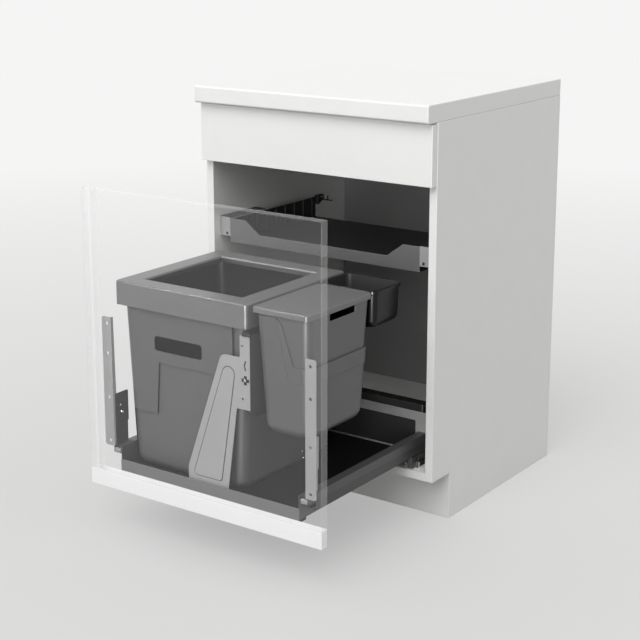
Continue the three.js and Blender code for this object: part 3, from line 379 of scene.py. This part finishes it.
def paint_inside_light_and_shade(piece, finish):
    """Paints the inner walls and the inner floor of an open box in another tone, up to just below its rim:
    painted shade inside the bins, the collar and the holder, painted light inside the caddy.
    """
    corners = [Vector(corner) for corner in piece.bound_box]
    middle = sum(corners, Vector()) / 8
    top = max(corner.z for corner in corners)
    foot = min(corner.z for corner in corners)
    rim = top - 4 * MM
    floor_zone = foot + 0.1 * (top - foot)

    def faces_in(face):
        inwards = Vector((middle.x - face.center.x, middle.y - face.center.y, 0)).normalized()
        wall = face.normal.dot(inwards) > 0.3 and face.center.z < rim
        floor = face.normal.z > 0.5 and face.center.z < floor_zone
        return wall or floor

    refinish(piece, finish, faces_in)


# ------------------------------------------------------------------------------------------------
# Stage and finishes
# ------------------------------------------------------------------------------------------------


def colour_of(name, description, code):
    """A colour that a user may change, with its default as an sRGB hex value."""
    choice = {"default": linear(code)[:3], "subtype": "COLOR", "min": 0, "max": 1}
    return bpy.props.FloatVectorProperty(name=name, description=description, **choice)


def width_of(name, description, millimetres):
    """A width that a user may change, with its default in millimetres."""
    return bpy.props.FloatProperty(
        name=name, description=description, default=millimetres * MM, min=0, unit="LENGTH"
    )


class FinishSettings(bpy.types.PropertyGroup):
    """The colours of the boards, the steel and the plastics, and how far their edges are broken."""

    board: colour_of("Boards", "Colour of the sides, the worktop and the fronts", "f0f0ee")
    # Painted shade: the grey of the faces inside the cabinet.
    interior_painted_shade: colour_of("Interior", "Colour of the boards inside the cabinet", "989898")
    light_steel: colour_of("Light steel", "Colour of the strips and the centre bracket", "a8a8a8")
    grey_steel: colour_of("Grey steel", "Colour of the front rail and the tray", "6a6a6a")
    # Painted shade: the side rails drawn darker than the front rail.
    rail_painted_shade: colour_of("Side rails", "Colour of the side rails", "454545")
    bins: colour_of("Bins", "Colour of the large bin, the bucket and its holder", "606060")
    lids: colour_of("Collar and lid", "Colour of the collar and the lid", "727272")
    caddy: colour_of("Caddy", "Colour of the caddy", "151515")
    shelf: colour_of("Shelf", "Colour of the shelf's lip", "565656")
    end_blocks: colour_of("End blocks", "Colour of the shelf's end blocks and the rail lugs", "969696")
    board_edge: width_of("Board edge", "Rounding of the boards' edges", 0.8)
    worktop_edge: width_of("Worktop edge", "Rounding of the worktop's edges", 2.0)
    sheet_edge: width_of("Sheet edge", "Rounding of the sheet steel's edges", 0.35)
    moulded_edge: width_of("Moulded edge", "Rounding of the plastics' edges", 0.6)


class StageSettings(bpy.types.PropertyGroup):
    """The floor, the lights and the view."""

    camera_place: bpy.props.FloatVectorProperty(
        name="Camera", description="Where the camera stands", default=(1.805, -2.602, 1.288), subtype="XYZ"
    )
    camera_turn: bpy.props.FloatVectorProperty(
        name="Camera turn",
        description="The camera's pitch, roll and heading",
        default=(math.radians(76.76), 0.0, math.radians(35.32)),
        subtype="EULER",
    )
    lens: bpy.props.FloatProperty(
        name="Lens", description="Focal length on a 36 mm sensor, in millimetres", default=83.43
    )
    shift: bpy.props.FloatProperty(
        name="Shift", description="How far the view is moved down, as a share of its width", default=0.10
    )
    sky: bpy.props.FloatProperty(name="Sky", description="Strength of the even light all round", default=0.69)
    backdrop: bpy.props.FloatProperty(
        name="Backdrop",
        description="Brightness of the background above the horizon",
        default=0.92,
        min=0,
        max=1,
    )
    key: bpy.props.FloatProperty(name="Key", description="Strength of the main light", default=1.65)
    strip: bpy.props.FloatProperty(
        name="Strip light",
        description="Power of the tall light that draws the corners",
        default=220,
        unit="POWER",
    )
    sheen: bpy.props.FloatProperty(
        name="Sheen light",
        description="Power of the light that gives fronts their sheen",
        default=45,
        unit="POWER",
    )
    overhead: bpy.props.FloatProperty(
        name="Overhead light",
        description="Power of the light that draws the upper edges",
        default=60,
        unit="POWER",
    )
    paper: bpy.props.FloatVectorProperty(
        name="Paper",
        description="Colour of the background paper",
        default=linear("9a9a99")[:3],
        subtype="COLOR",
        min=0,
        max=1,
    )
    paper_lift: bpy.props.FloatProperty(
        name="Paper lift",
        description="Brightness that the background has of its own",
        default=0.57,
        min=0,
        max=1,
    )


class SORTER_OT_stage(bpy.types.Operator):
    """Makes the floor, the lights and the camera"""

    bl_idname = "sorter.stage"
    bl_label = "Stage"

    def execute(self, context):
        settings = context.scene.sorter_stage
        self.add_camera(context, settings)
        self.add_floor(context, settings)
        self.add_lights(context, settings)
        context.scene.view_settings.view_transform = "Standard"
        return {"FINISHED"}

    def add_camera(self, context, settings):
        bpy.ops.object.camera_add(location=settings.camera_place, rotation=settings.camera_turn)
        camera = context.active_object
        camera.name = "view_camera"
        camera.data.lens = settings.lens
        camera.data.sensor_width = 36
        camera.data.shift_y = -settings.shift
        camera.data.clip_end = 100
        context.scene.camera = camera

    def add_floor(self, context, settings):
        bpy.ops.object.select_all(action="DESELECT")
        floor_width, below_feet = 60, 0.5 * MM
        bpy.ops.mesh.primitive_plane_add(size=floor_width, location=(0, 0, -below_feet))
        floor = context.active_object
        floor.name = "studio_floor"
        # Matt background paper, with no gloss of its own to catch the lights.
        colour = [*settings.paper, 1]
        matt = {"Base Color": colour, "Roughness": 0.9, "IOR": 1.2, "Specular IOR Level": 0.0}
        paper, shader = new_material("studio_paper", **matt)
        # To the camera, and in gloss and behind clear parts, part of its brightness is its own.
        # The paper's own brightness is less near the object: painted shade round it.
        near, far, near_share = 0.8, 4.5, 0.66
        place = add_node(paper, "ShaderNodeTexCoord").outputs["Object"]
        reach = add_node(paper, "ShaderNodeVectorMath", {"operation": "LENGTH"}, {0: place}).outputs["Value"]
        fade = {"Value": reach, "From Min": near, "From Max": far}
        fade.update({"To Min": settings.paper_lift * near_share, "To Max": settings.paper_lift})
        fade = add_node(paper, "ShaderNodeMapRange", None, fade)
        lift = {0: seen_ray(paper), 1: fade.outputs["Result"]}
        lift = add_node(paper, "ShaderNodeMath", {"operation": "MULTIPLY"}, lift)
        shader.inputs["Emission Color"].default_value = (1, 1, 1, 1)
        paper.node_tree.links.new(lift.outputs["Value"], shader.inputs["Emission Strength"])
        floor.data.materials.append(paper)

    def add_lights(self, context, settings):
        world = bpy.data.worlds.new("studio_sky")
        context.scene.world = world
        world.use_nodes = True
        sky = world.node_tree.nodes["Background"]
        sky.inputs["Color"].default_value = (1, 1, 1, 1)
        # Above the paper's horizon the camera sees the same pale tone.
        span = {"Value": seen_ray(world), "To Min": settings.sky, "To Max": settings.backdrop}
        strength = add_node(world, "ShaderNodeMapRange", None, span)
        world.node_tree.links.new(strength.outputs["Result"], sky.inputs["Strength"])
        key_from = Vector((0.15, -1.15, 1.15))
        turn = key_from.to_track_quat("Z", "Y").to_euler()
        bpy.ops.object.light_add(type="SUN", location=key_from, rotation=turn)
        key = context.active_object
        key.name = "key_light"
        key.data.energy = settings.key
        # A wide angle gives the shadows their soft edges.
        key.data.angle = math.radians(50)
        # Soft lights that are seen only in gloss: a tall one near the floor draws the rounded corners, a
        # broad one gives the faces to the front their sheen, and one overhead draws the upper edges.
        # Each has its name, its place, its width and height, and its power.
        gloss_lights = (
            ("strip_light", (1.05, -2.0, 0.55), (0.4, 1.4), settings.strip),
            ("sheen_light", (-1.7, -2.9, 0.75), (1.6, 1.3), settings.sheen),
            ("overhead_light", (-1.5, -1.1, 2.5), (0.5, 0.5), settings.overhead),
        )
        target = Vector((0, -0.35, 0.35))
        for name, place, size, power in gloss_lights:
            turn = (Vector(place) - target).to_track_quat("Z", "Y").to_euler()
            bpy.ops.object.light_add(type="AREA", location=place, rotation=turn)
            light = context.active_object
            light.name = name
            light.data.shape = "RECTANGLE"
            light.data.size, light.data.size_y = size
            light.data.energy = power
            light.visible_diffuse = False
            light.visible_camera = False


class SORTER_OT_finishes(bpy.types.Operator):
    """Makes the finishes that the pieces share"""

    bl_idname = "sorter.finishes"
    bl_label = "Finishes"

    def execute(self, context):
        colours = context.scene.sorter_finishes
        make_boards(colours)
        make_steels(colours)
        make_plastics(colours)
        make_rubbers()
        make_acrylic()
        return {"FINISHED"}


# ------------------------------------------------------------------------------------------------
# Cabinet
# ------------------------------------------------------------------------------------------------


class SORTER_OT_carcass(bpy.types.Operator):
    """Boards of the cabinet, the worktop and the fronts, with their edges broken"""

    bl_idname = "sorter.carcass"
    bl_label = "Carcass"

    def execute(self, context):
        sizes = context.scene.sorter_finishes
        for node in ("side_panel_left", "side_panel_right", "plinth_board", "fascia_panel"):
            dress(node, "cabinet", "white_board", sizes.board_edge)
        # Painted shade: the cross rails and the back panel's inner face are drawn in the grey board.
        for node in ("front_cross_rail", "rear_cross_rail"):
            dress(node, "cabinet", "interior_board", sizes.board_edge)
        back = dress("back_panel", "cabinet", "interior_board", sizes.board_edge)
        # The back panel's outer face keeps the white board; the grey on its inner face is painted shade.
        refinish(back, "melamine_white", lambda face: face.normal.y > 0.7)
        dress("bottom_panel", "cabinet", "interior_board", sizes.board_edge, finish="melamine_white")
        dress("worktop", "cabinet", "white_board", sizes.worktop_edge, 3)
        dress("front_panel", "sorter", "ghosted_front", sizes.board_edge)
        return {"FINISHED"}


class SORTER_OT_shelf(bpy.types.Operator):
    """The storage shelf under the fascia, with its end blocks and its rear hooks"""

    bl_idname = "sorter.shelf"
    bl_label = "Shelf"

    def execute(self, context):
        sizes = context.scene.sorter_finishes
        edge = sizes.moulded_edge
        shelf = dress("storage_shelf", "cabinet", "dark_plastic", edge, finish="moulded_pp_shelf")
        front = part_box("storage_shelf")[0][1]
        # Painted shade: the shelf behind its lip is drawn dark, as it lies in shade under the fascia.
        refinish(shelf, "moulded_pp_painted_shade", lambda face: face.center.y > front + 4 * MM)
        for side in SIDES:
            block_name = f"shelf_end_block_{side}"
            end = dress(block_name, "cabinet", "dark_plastic", 2 * edge, 3, finish="moulded_pp_light")
            # Painted shade: the end block's top faces are drawn dark.
            refinish(end, "moulded_pp_painted_shade", lambda face: face.normal.z > 0.6)
            dress(f"shelf_rear_hook_{side}", "cabinet", "black_plastic", edge)
            self.add_prongs(side)
        return {"FINISHED"}

    def add_prongs(self, side):
        """The thin arm of the rear hook and its two upright prongs."""
        low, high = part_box(f"shelf_rear_hook_{side}")
        inwards = -OUTWARDS[side]
        root = high[0] if side == "left" else low[0]
        arm_reach, arm_depth, arm_height = 32 * MM, 3 * MM, 2.4 * MM
        prong_half, prong_root = 1.3 * MM, 1.2 * MM
        rounding_mm = 0.6
        tip = root + inwards * arm_reach
        behind = high[1] - 8 * MM
        seat = high[2] - 10 * MM
        arm_low = (min(root, tip), behind - arm_depth, seat - arm_height)
        arm_high = (max(root, tip), behind, seat)
        pieces = [rounded_block("prong_arm", arm_low, arm_high, rounding_mm, 2)]
        for reach in (5 * MM, 18 * MM):
            x = root + inwards * reach
            prong_low = (x - prong_half, behind - 2.8 * MM, seat - prong_root)
            prong_high = (x + prong_half, behind - 0.2 * MM, high[2] - 0.5 * MM)
            pieces.append(rounded_block("prong", prong_low, prong_high, rounding_mm, 2))
        finish_piece(join_as(f"shelf_hook_prongs_{side}", pieces), "cabinet", "black_plastic")


class SORTER_OT_runners(bpy.types.Operator):
    """Cabinet, middle and drawer members of the runners"""

    bl_idname = "sorter.runners"
    bl_label = "Runners"

    def execute(self, context):
        edge = context.scene.sorter_finishes.sheet_edge
        for side in SIDES:
            # Painted shade: the members' dark coat stands in for the shade they lie in.
            # The members show dark in the photograph, so their zinc is drawn as a dark coat.
            fixed, moving = f"runner_cabinet_member_{side}", f"runner_drawer_member_{side}"
            dress(fixed, "cabinet", "zinc_steel", edge, finish="powder_coat_painted_shade")
            self.add_middle(side, edge)
            dress(moving, "sorter", "zinc_steel", edge, finish="powder_coat_painted_shade")
            self.add_end_stop(side)
        return {"FINISHED"}

    def add_middle(self, side, edge):
        """The middle member, whose lower head ends behind the cabinet's front."""
        node = f"runner_middle_member_{side}"
        piece = copy_of_solid(node, f"{node}_edged")
        low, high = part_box(node)
        rail_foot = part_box(f"frame_side_rail_{side}")[0][2]
        head_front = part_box(f"runner_cabinet_member_{side}")[0][1] - 20 * MM
        past = 5 * MM
        notch_top = rail_foot + 14 * MM
        notch_low = (low[0] - past, low[1] - past, low[2] - past)
        cut(piece, block("notch", notch_low, (high[0] + past, head_front, notch_top)))
        break_edges(piece, edge)
        body = f"runner_middle_{side}"
        # Painted shade: the middle member gets the same dark coat.
        finish_piece(piece, body, "zinc_steel", "powder_coat_painted_shade", [node])

    def add_end_stop(self, side):
        """The stop on the cabinet member's front end: a black plate, bright fins, and a black cheek on the
        cabinet side that is painted shade there.
        """
        low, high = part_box(f"runner_cabinet_member_{side}")
        outwards = OUTWARDS[side]
        inner = low[0] if side == "right" else high[0]
        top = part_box(f"frame_side_rail_{side}")[0][2] - 1.5 * MM
        foot = low[2] + 0.5 * MM
        front = low[1] - 7 * MM
        # The sorter's foot passes over the inner part when the sorter is pushed in, so that part stays low.
        low_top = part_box(f"frame_foot_{side}")[0][2] - 1 * MM
        plate_reach = (1, 12)
        shade_cheek_reach, shade_cheek_depth = (30.2, 32.5), 60 * MM
        across = sorted(inner + outwards * reach * MM for reach in plate_reach)
        plate_low, plate_high = (across[0], front + 4 * MM, foot), (across[1], low[1], low_top)
        plate = rounded_block("stop_plate", plate_low, plate_high, 0.8, 2)
        # Painted shade: the cheek is a dark sheet over the cabinet side, where the side lies in shade.
        across = sorted(inner + outwards * reach * MM for reach in shade_cheek_reach)
        shade_cheek_low, shade_cheek_high = (across[0], front, foot), (across[1], low[1] + shade_cheek_depth, top)
        shade_cheek = rounded_block("stop_shade_cheek", shade_cheek_low, shade_cheek_high, 0.6, 2)
        finish_piece(join_as(f"runner_stop_{side}", [plate, shade_cheek]), "cabinet", "black_plastic")
        fin_half = 0.9 * MM
        fins = []
        for reach, fin_top in ((3, low_top), (9, low_top), (12.4, top), (29, top), (34.2, top)):
            x = inner + outwards * reach * MM
            fin_low = (x - fin_half, front, foot)
            fin_high = (x + fin_half, low[1], fin_top)
            fins.append(rounded_block("fin", fin_low, fin_high, 0.5, 2))
        finish_piece(join_as(f"runner_stop_fins_{side}", fins), "cabinet", "zinc_steel")


# ------------------------------------------------------------------------------------------------
# Sorter
# ------------------------------------------------------------------------------------------------


class SORTER_OT_frame(bpy.types.Operator):
    """The sorter's steel frame, its tray, mat, pad, rear cover and feet"""

    bl_idname = "sorter.frame"
    bl_label = "Frame"

    def execute(self, context):
        sizes = context.scene.sorter_finishes
        edge = sizes.sheet_edge
        for side in SIDES:
            # The side rails' darker coat is painted shade.
            dress(f"frame_side_rail_{side}", "sorter", "grey_steel", edge, finish="rail_coat_painted_shade")
            dress(f"frame_foot_{side}", "sorter", "black_plastic", sizes.moulded_edge)
        dress("frame_front_rail", "sorter", "grey_steel", edge)
        dress("frame_rear_wall", "sorter", "grey_steel", edge, finish="powder_coat_light")
        dress("tray_floor", "sorter", "grey_steel", edge)
        dress("floor_mat", "sorter", "black_mat", sizes.moulded_edge)
        dress("rear_pad", "sorter", "black_mat", sizes.moulded_edge, finish="rubber_granulate")
        dress("rear_cover", "sorter", "black_plastic", sizes.moulded_edge)
        self.add_clips()
        for side in SIDES:
            self.add_lug(side)
        return {"FINISHED"}

    def add_clips(self):
        """Two snap clips over the top edge of the rear cover."""
        low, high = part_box("rear_cover")
        off_centre, half_width = 122 * MM, 7 * MM
        clips = []
        for x in (-off_centre, off_centre):
            clip_low = (x - half_width, low[1] - 1.2 * MM, high[2] - 12 * MM)
            clip_high = (x + half_width, low[1] + 8 * MM, high[2] + 1.5 * MM)
            clips.append(rounded_block("clip", clip_low, clip_high, 1.0, 2))
        finish_piece(join_as("rear_cover_clips", clips), "sorter", "black_plastic")

    def add_lug(self, side):
        """The pale plastic lug in the front end of the side rail."""
        low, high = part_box(f"frame_side_rail_{side}")
        edge = low[0] if side == "left" else high[0]
        # Both ends are measured in from the rail's outer edge.
        across = sorted(edge - OUTWARDS[side] * reach * MM for reach in (1, 18))
        lug_low = (across[0], low[1] - 1.5 * MM, high[2] - 17 * MM)
        lug_high = (across[1], low[1] + 9 * MM, high[2] - 6 * MM)
        lug = rounded_block(f"rail_lug_{side}", lug_low, lug_high, 3.0, 3)
        finish_piece(lug, "sorter", "dark_plastic", "moulded_pp_light")


class SORTER_OT_fixings(bpy.types.Operator):
    """Strips and brackets that hold the front panel"""

    bl_idname = "sorter.fixings"
    bl_label = "Panel fixings"

    def execute(self, context):
        sizes = context.scene.sorter_finishes
        for side in SIDES:
            dress(f"panel_strip_{side}", "sorter", "light_steel", sizes.sheet_edge)
            outwards = OUTWARDS[side]
            edge = sizes.sheet_edge
            # Painted shade: the bracket is drawn in the dark coat, and only its outward face keeps the light
            # steel.
            bracket = dress(f"side_bracket_{side}", "sorter", "grey_steel", edge, finish="powder_coat_painted_shade")
            refinish(bracket, "powder_coat_light", lambda face: face.normal.x * outwards > 0.7)
            # Painted shade: the cam's zinc is drawn in the dark coat.
            dress(f"bracket_cam_{side}", "sorter", "zinc_steel", edge, finish="powder_coat_painted_shade")
            self.add_rivets(side)
        return {"FINISHED"}

    def add_rivets(self, side):
        """Two bright rivets in the inner face of the side bracket."""
        low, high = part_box(f"side_bracket_{side}")
        face = high[0] if side == "left" else low[0]
        inwards = -OUTWARDS[side]
        upper_rivet, lower_rivet = (-0.4415, 0.277), (-0.4400, 0.263)
        heads = []
        for y, z in (upper_rivet, lower_rivet):
            heads.append(button_head("rivet", (face, y, z), (inwards, 0, 0), radius_mm=2.2, height_mm=1.0))
        finish_piece(join_as(f"bracket_rivets_{side}", heads), "sorter", "zinc_steel")


class SORTER_OT_centre(bpy.types.Operator):
    """The centre bracket, its cam, the carrier plate and the cap"""

    bl_idname = "sorter.centre"
    bl_label = "Centre bracket"

    def execute(self, context):
        sizes = context.scene.sorter_finishes
        bracket = copy_of_solid("centre_bracket", "centre_bracket_edged")
        self.outline_emboss(bracket)
        break_edges(bracket, sizes.sheet_edge)
        finish_piece(bracket, "sorter", "light_steel", None, ["centre_bracket"])
        dress("centre_cam", "sorter", "zinc_steel", sizes.sheet_edge, finish="moulded_pp_black")
        low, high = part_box("centre_cam")
        hub = ((low[0] + high[0]) / 2, low[1], (low[2] + high[2]) / 2)
        screw = button_head("centre_cam_screw", hub, (0, -1, 0), radius_mm=2.6, height_mm=0.7)
        finish_piece(screw, "sorter", "zinc_steel")
        self.add_slot_shade(high[1])
        # Painted shade: the carrier plate is drawn in the dark coat, as it lies in shade behind the bracket.
        dress("carrier_plate", "sorter", "grey_steel", sizes.sheet_edge, finish="powder_coat_painted_shade")
        dress("carrier_cap", "sorter", "black_plastic", sizes.moulded_edge)
        return {"FINISHED"}

    def outline_emboss(self, bracket):
        """Sinks a narrow groove round the raised field of the bracket's foot, and paints its floor dark as
        painted shade.
        """
        fields = [face for face in bracket.data.polygons if face.normal.y < -0.9]
        # The field is the largest face to the front.
        raised = max(fields, key=lambda face: face.area).index
        front = bracket.data.polygons[raised].center.y
        depth, width = 1.3 * MM, 2.0 * MM
        pick(bracket, "FACE", lambda face: face.index == raised)
        bpy.ops.transform.translate(value=(0, depth, 0))
        bpy.ops.mesh.inset(thickness=width)
        bpy.ops.mesh.extrude_region_move(TRANSFORM_OT_translate={"value": (0, -depth, 0)})
        bpy.ops.object.mode_set(mode="OBJECT")
        floor = front + depth

        def in_groove(face):
            return face.normal.y < -0.9 and abs(face.center.y - floor) < 0.1 * MM

        # Painted shade: the groove's floor is drawn dark.
        refinish(bracket, "powder_coat_painted_shade", in_groove)

    def add_slot_shade(self, behind):
        """The black backing that shows through the curved slot of the bracket's neck: a dark sheet as painted
        shade in the slot.
        """
        left, right, foot, top = 0.091, 0.105, 0.406, 0.437
        thickness = 2 * MM
        shade_backing = rounded_block("slot_shade_backing", (left, behind, foot), (right, behind + thickness, top), 0.6, 2)
        finish_piece(shade_backing, "sorter", "black_plastic")


class SORTER_OT_bins(bpy.types.Operator):
    """The large bin and its collar, the small bin's holder, bucket and lid, and the caddy"""

    bl_idname = "sorter.bins"
    bl_label = "Bins"

    def execute(self, context):
        sizes = context.scene.sorter_finishes
        edge = sizes.moulded_edge
        # Painted shade: the inner faces of the bins, the collar and the holder are drawn dark.
        paint_inside_light_and_shade(dress("large_bin", "large_bin", "bin_plastic", edge), "moulded_pp_painted_shade")
        paint_inside_light_and_shade(dress("bin_collar", "collar", "collar_plastic", edge), "moulded_pp_painted_shade")
        paint_inside_light_and_shade(dress("small_bin_holder", "holder", "bin_plastic", edge), "moulded_pp_painted_shade")
        paint_inside_light_and_shade(dress("small_bucket", "bucket", "bin_plastic", edge), "moulded_pp_painted_shade")
        dress("bucket_lid", "lid", "collar_plastic", edge)
        # Painted light: the caddy's inner faces are drawn paler than its outside.
        paint_inside_light_and_shade(dress("caddy", "caddy", "dark_plastic", edge), "moulded_pp_caddy_painted_light")
        return {"FINISHED"}


# ------------------------------------------------------------------------------------------------
# Panel, registration and run
# ------------------------------------------------------------------------------------------------

PIECE_OPERATORS = (
    SORTER_OT_carcass,
    SORTER_OT_shelf,
    SORTER_OT_runners,
    SORTER_OT_frame,
    SORTER_OT_fixings,
    SORTER_OT_centre,
    SORTER_OT_bins,
)


class SORTER_PT_panel(bpy.types.Panel):
    """Lists the stage, the finishes and the pieces"""

    bl_label = "Waste sorter"
    bl_idname = "SORTER_PT_panel"
    bl_space_type = "VIEW_3D"
    bl_region_type = "UI"
    bl_category = "Sorter"

    def draw(self, context):
        scene = context.scene
        for kind, settings in ((FinishSettings, scene.sorter_finishes), (StageSettings, scene.sorter_stage)):
            for name in kind.__annotations__:
                self.layout.prop(settings, name)
        for operator in (SORTER_OT_stage, SORTER_OT_finishes, *PIECE_OPERATORS):
            self.layout.operator(operator.bl_idname)


SETTINGS = (FinishSettings, StageSettings)
CLASSES = (*SETTINGS, SORTER_OT_stage, SORTER_OT_finishes, *PIECE_OPERATORS, SORTER_PT_panel)


def register():
    for cls in CLASSES:
        bpy.utils.register_class(cls)
    bpy.types.Scene.sorter_finishes = bpy.props.PointerProperty(type=FinishSettings)
    bpy.types.Scene.sorter_stage = bpy.props.PointerProperty(type=StageSettings)


def unregister():
    del bpy.types.Scene.sorter_stage
    del bpy.types.Scene.sorter_finishes
    for cls in reversed(CLASSES):
        bpy.utils.unregister_class(cls)


def main():
    register()
    bpy.ops.sorter.stage()
    bpy.ops.sorter.finishes()
    bpy.ops.sorter.carcass()
    bpy.ops.sorter.shelf()
    bpy.ops.sorter.runners()
    bpy.ops.sorter.frame()
    bpy.ops.sorter.fixings()
    bpy.ops.sorter.centre()
    bpy.ops.sorter.bins()


if __name__ == "__main__":
    main()
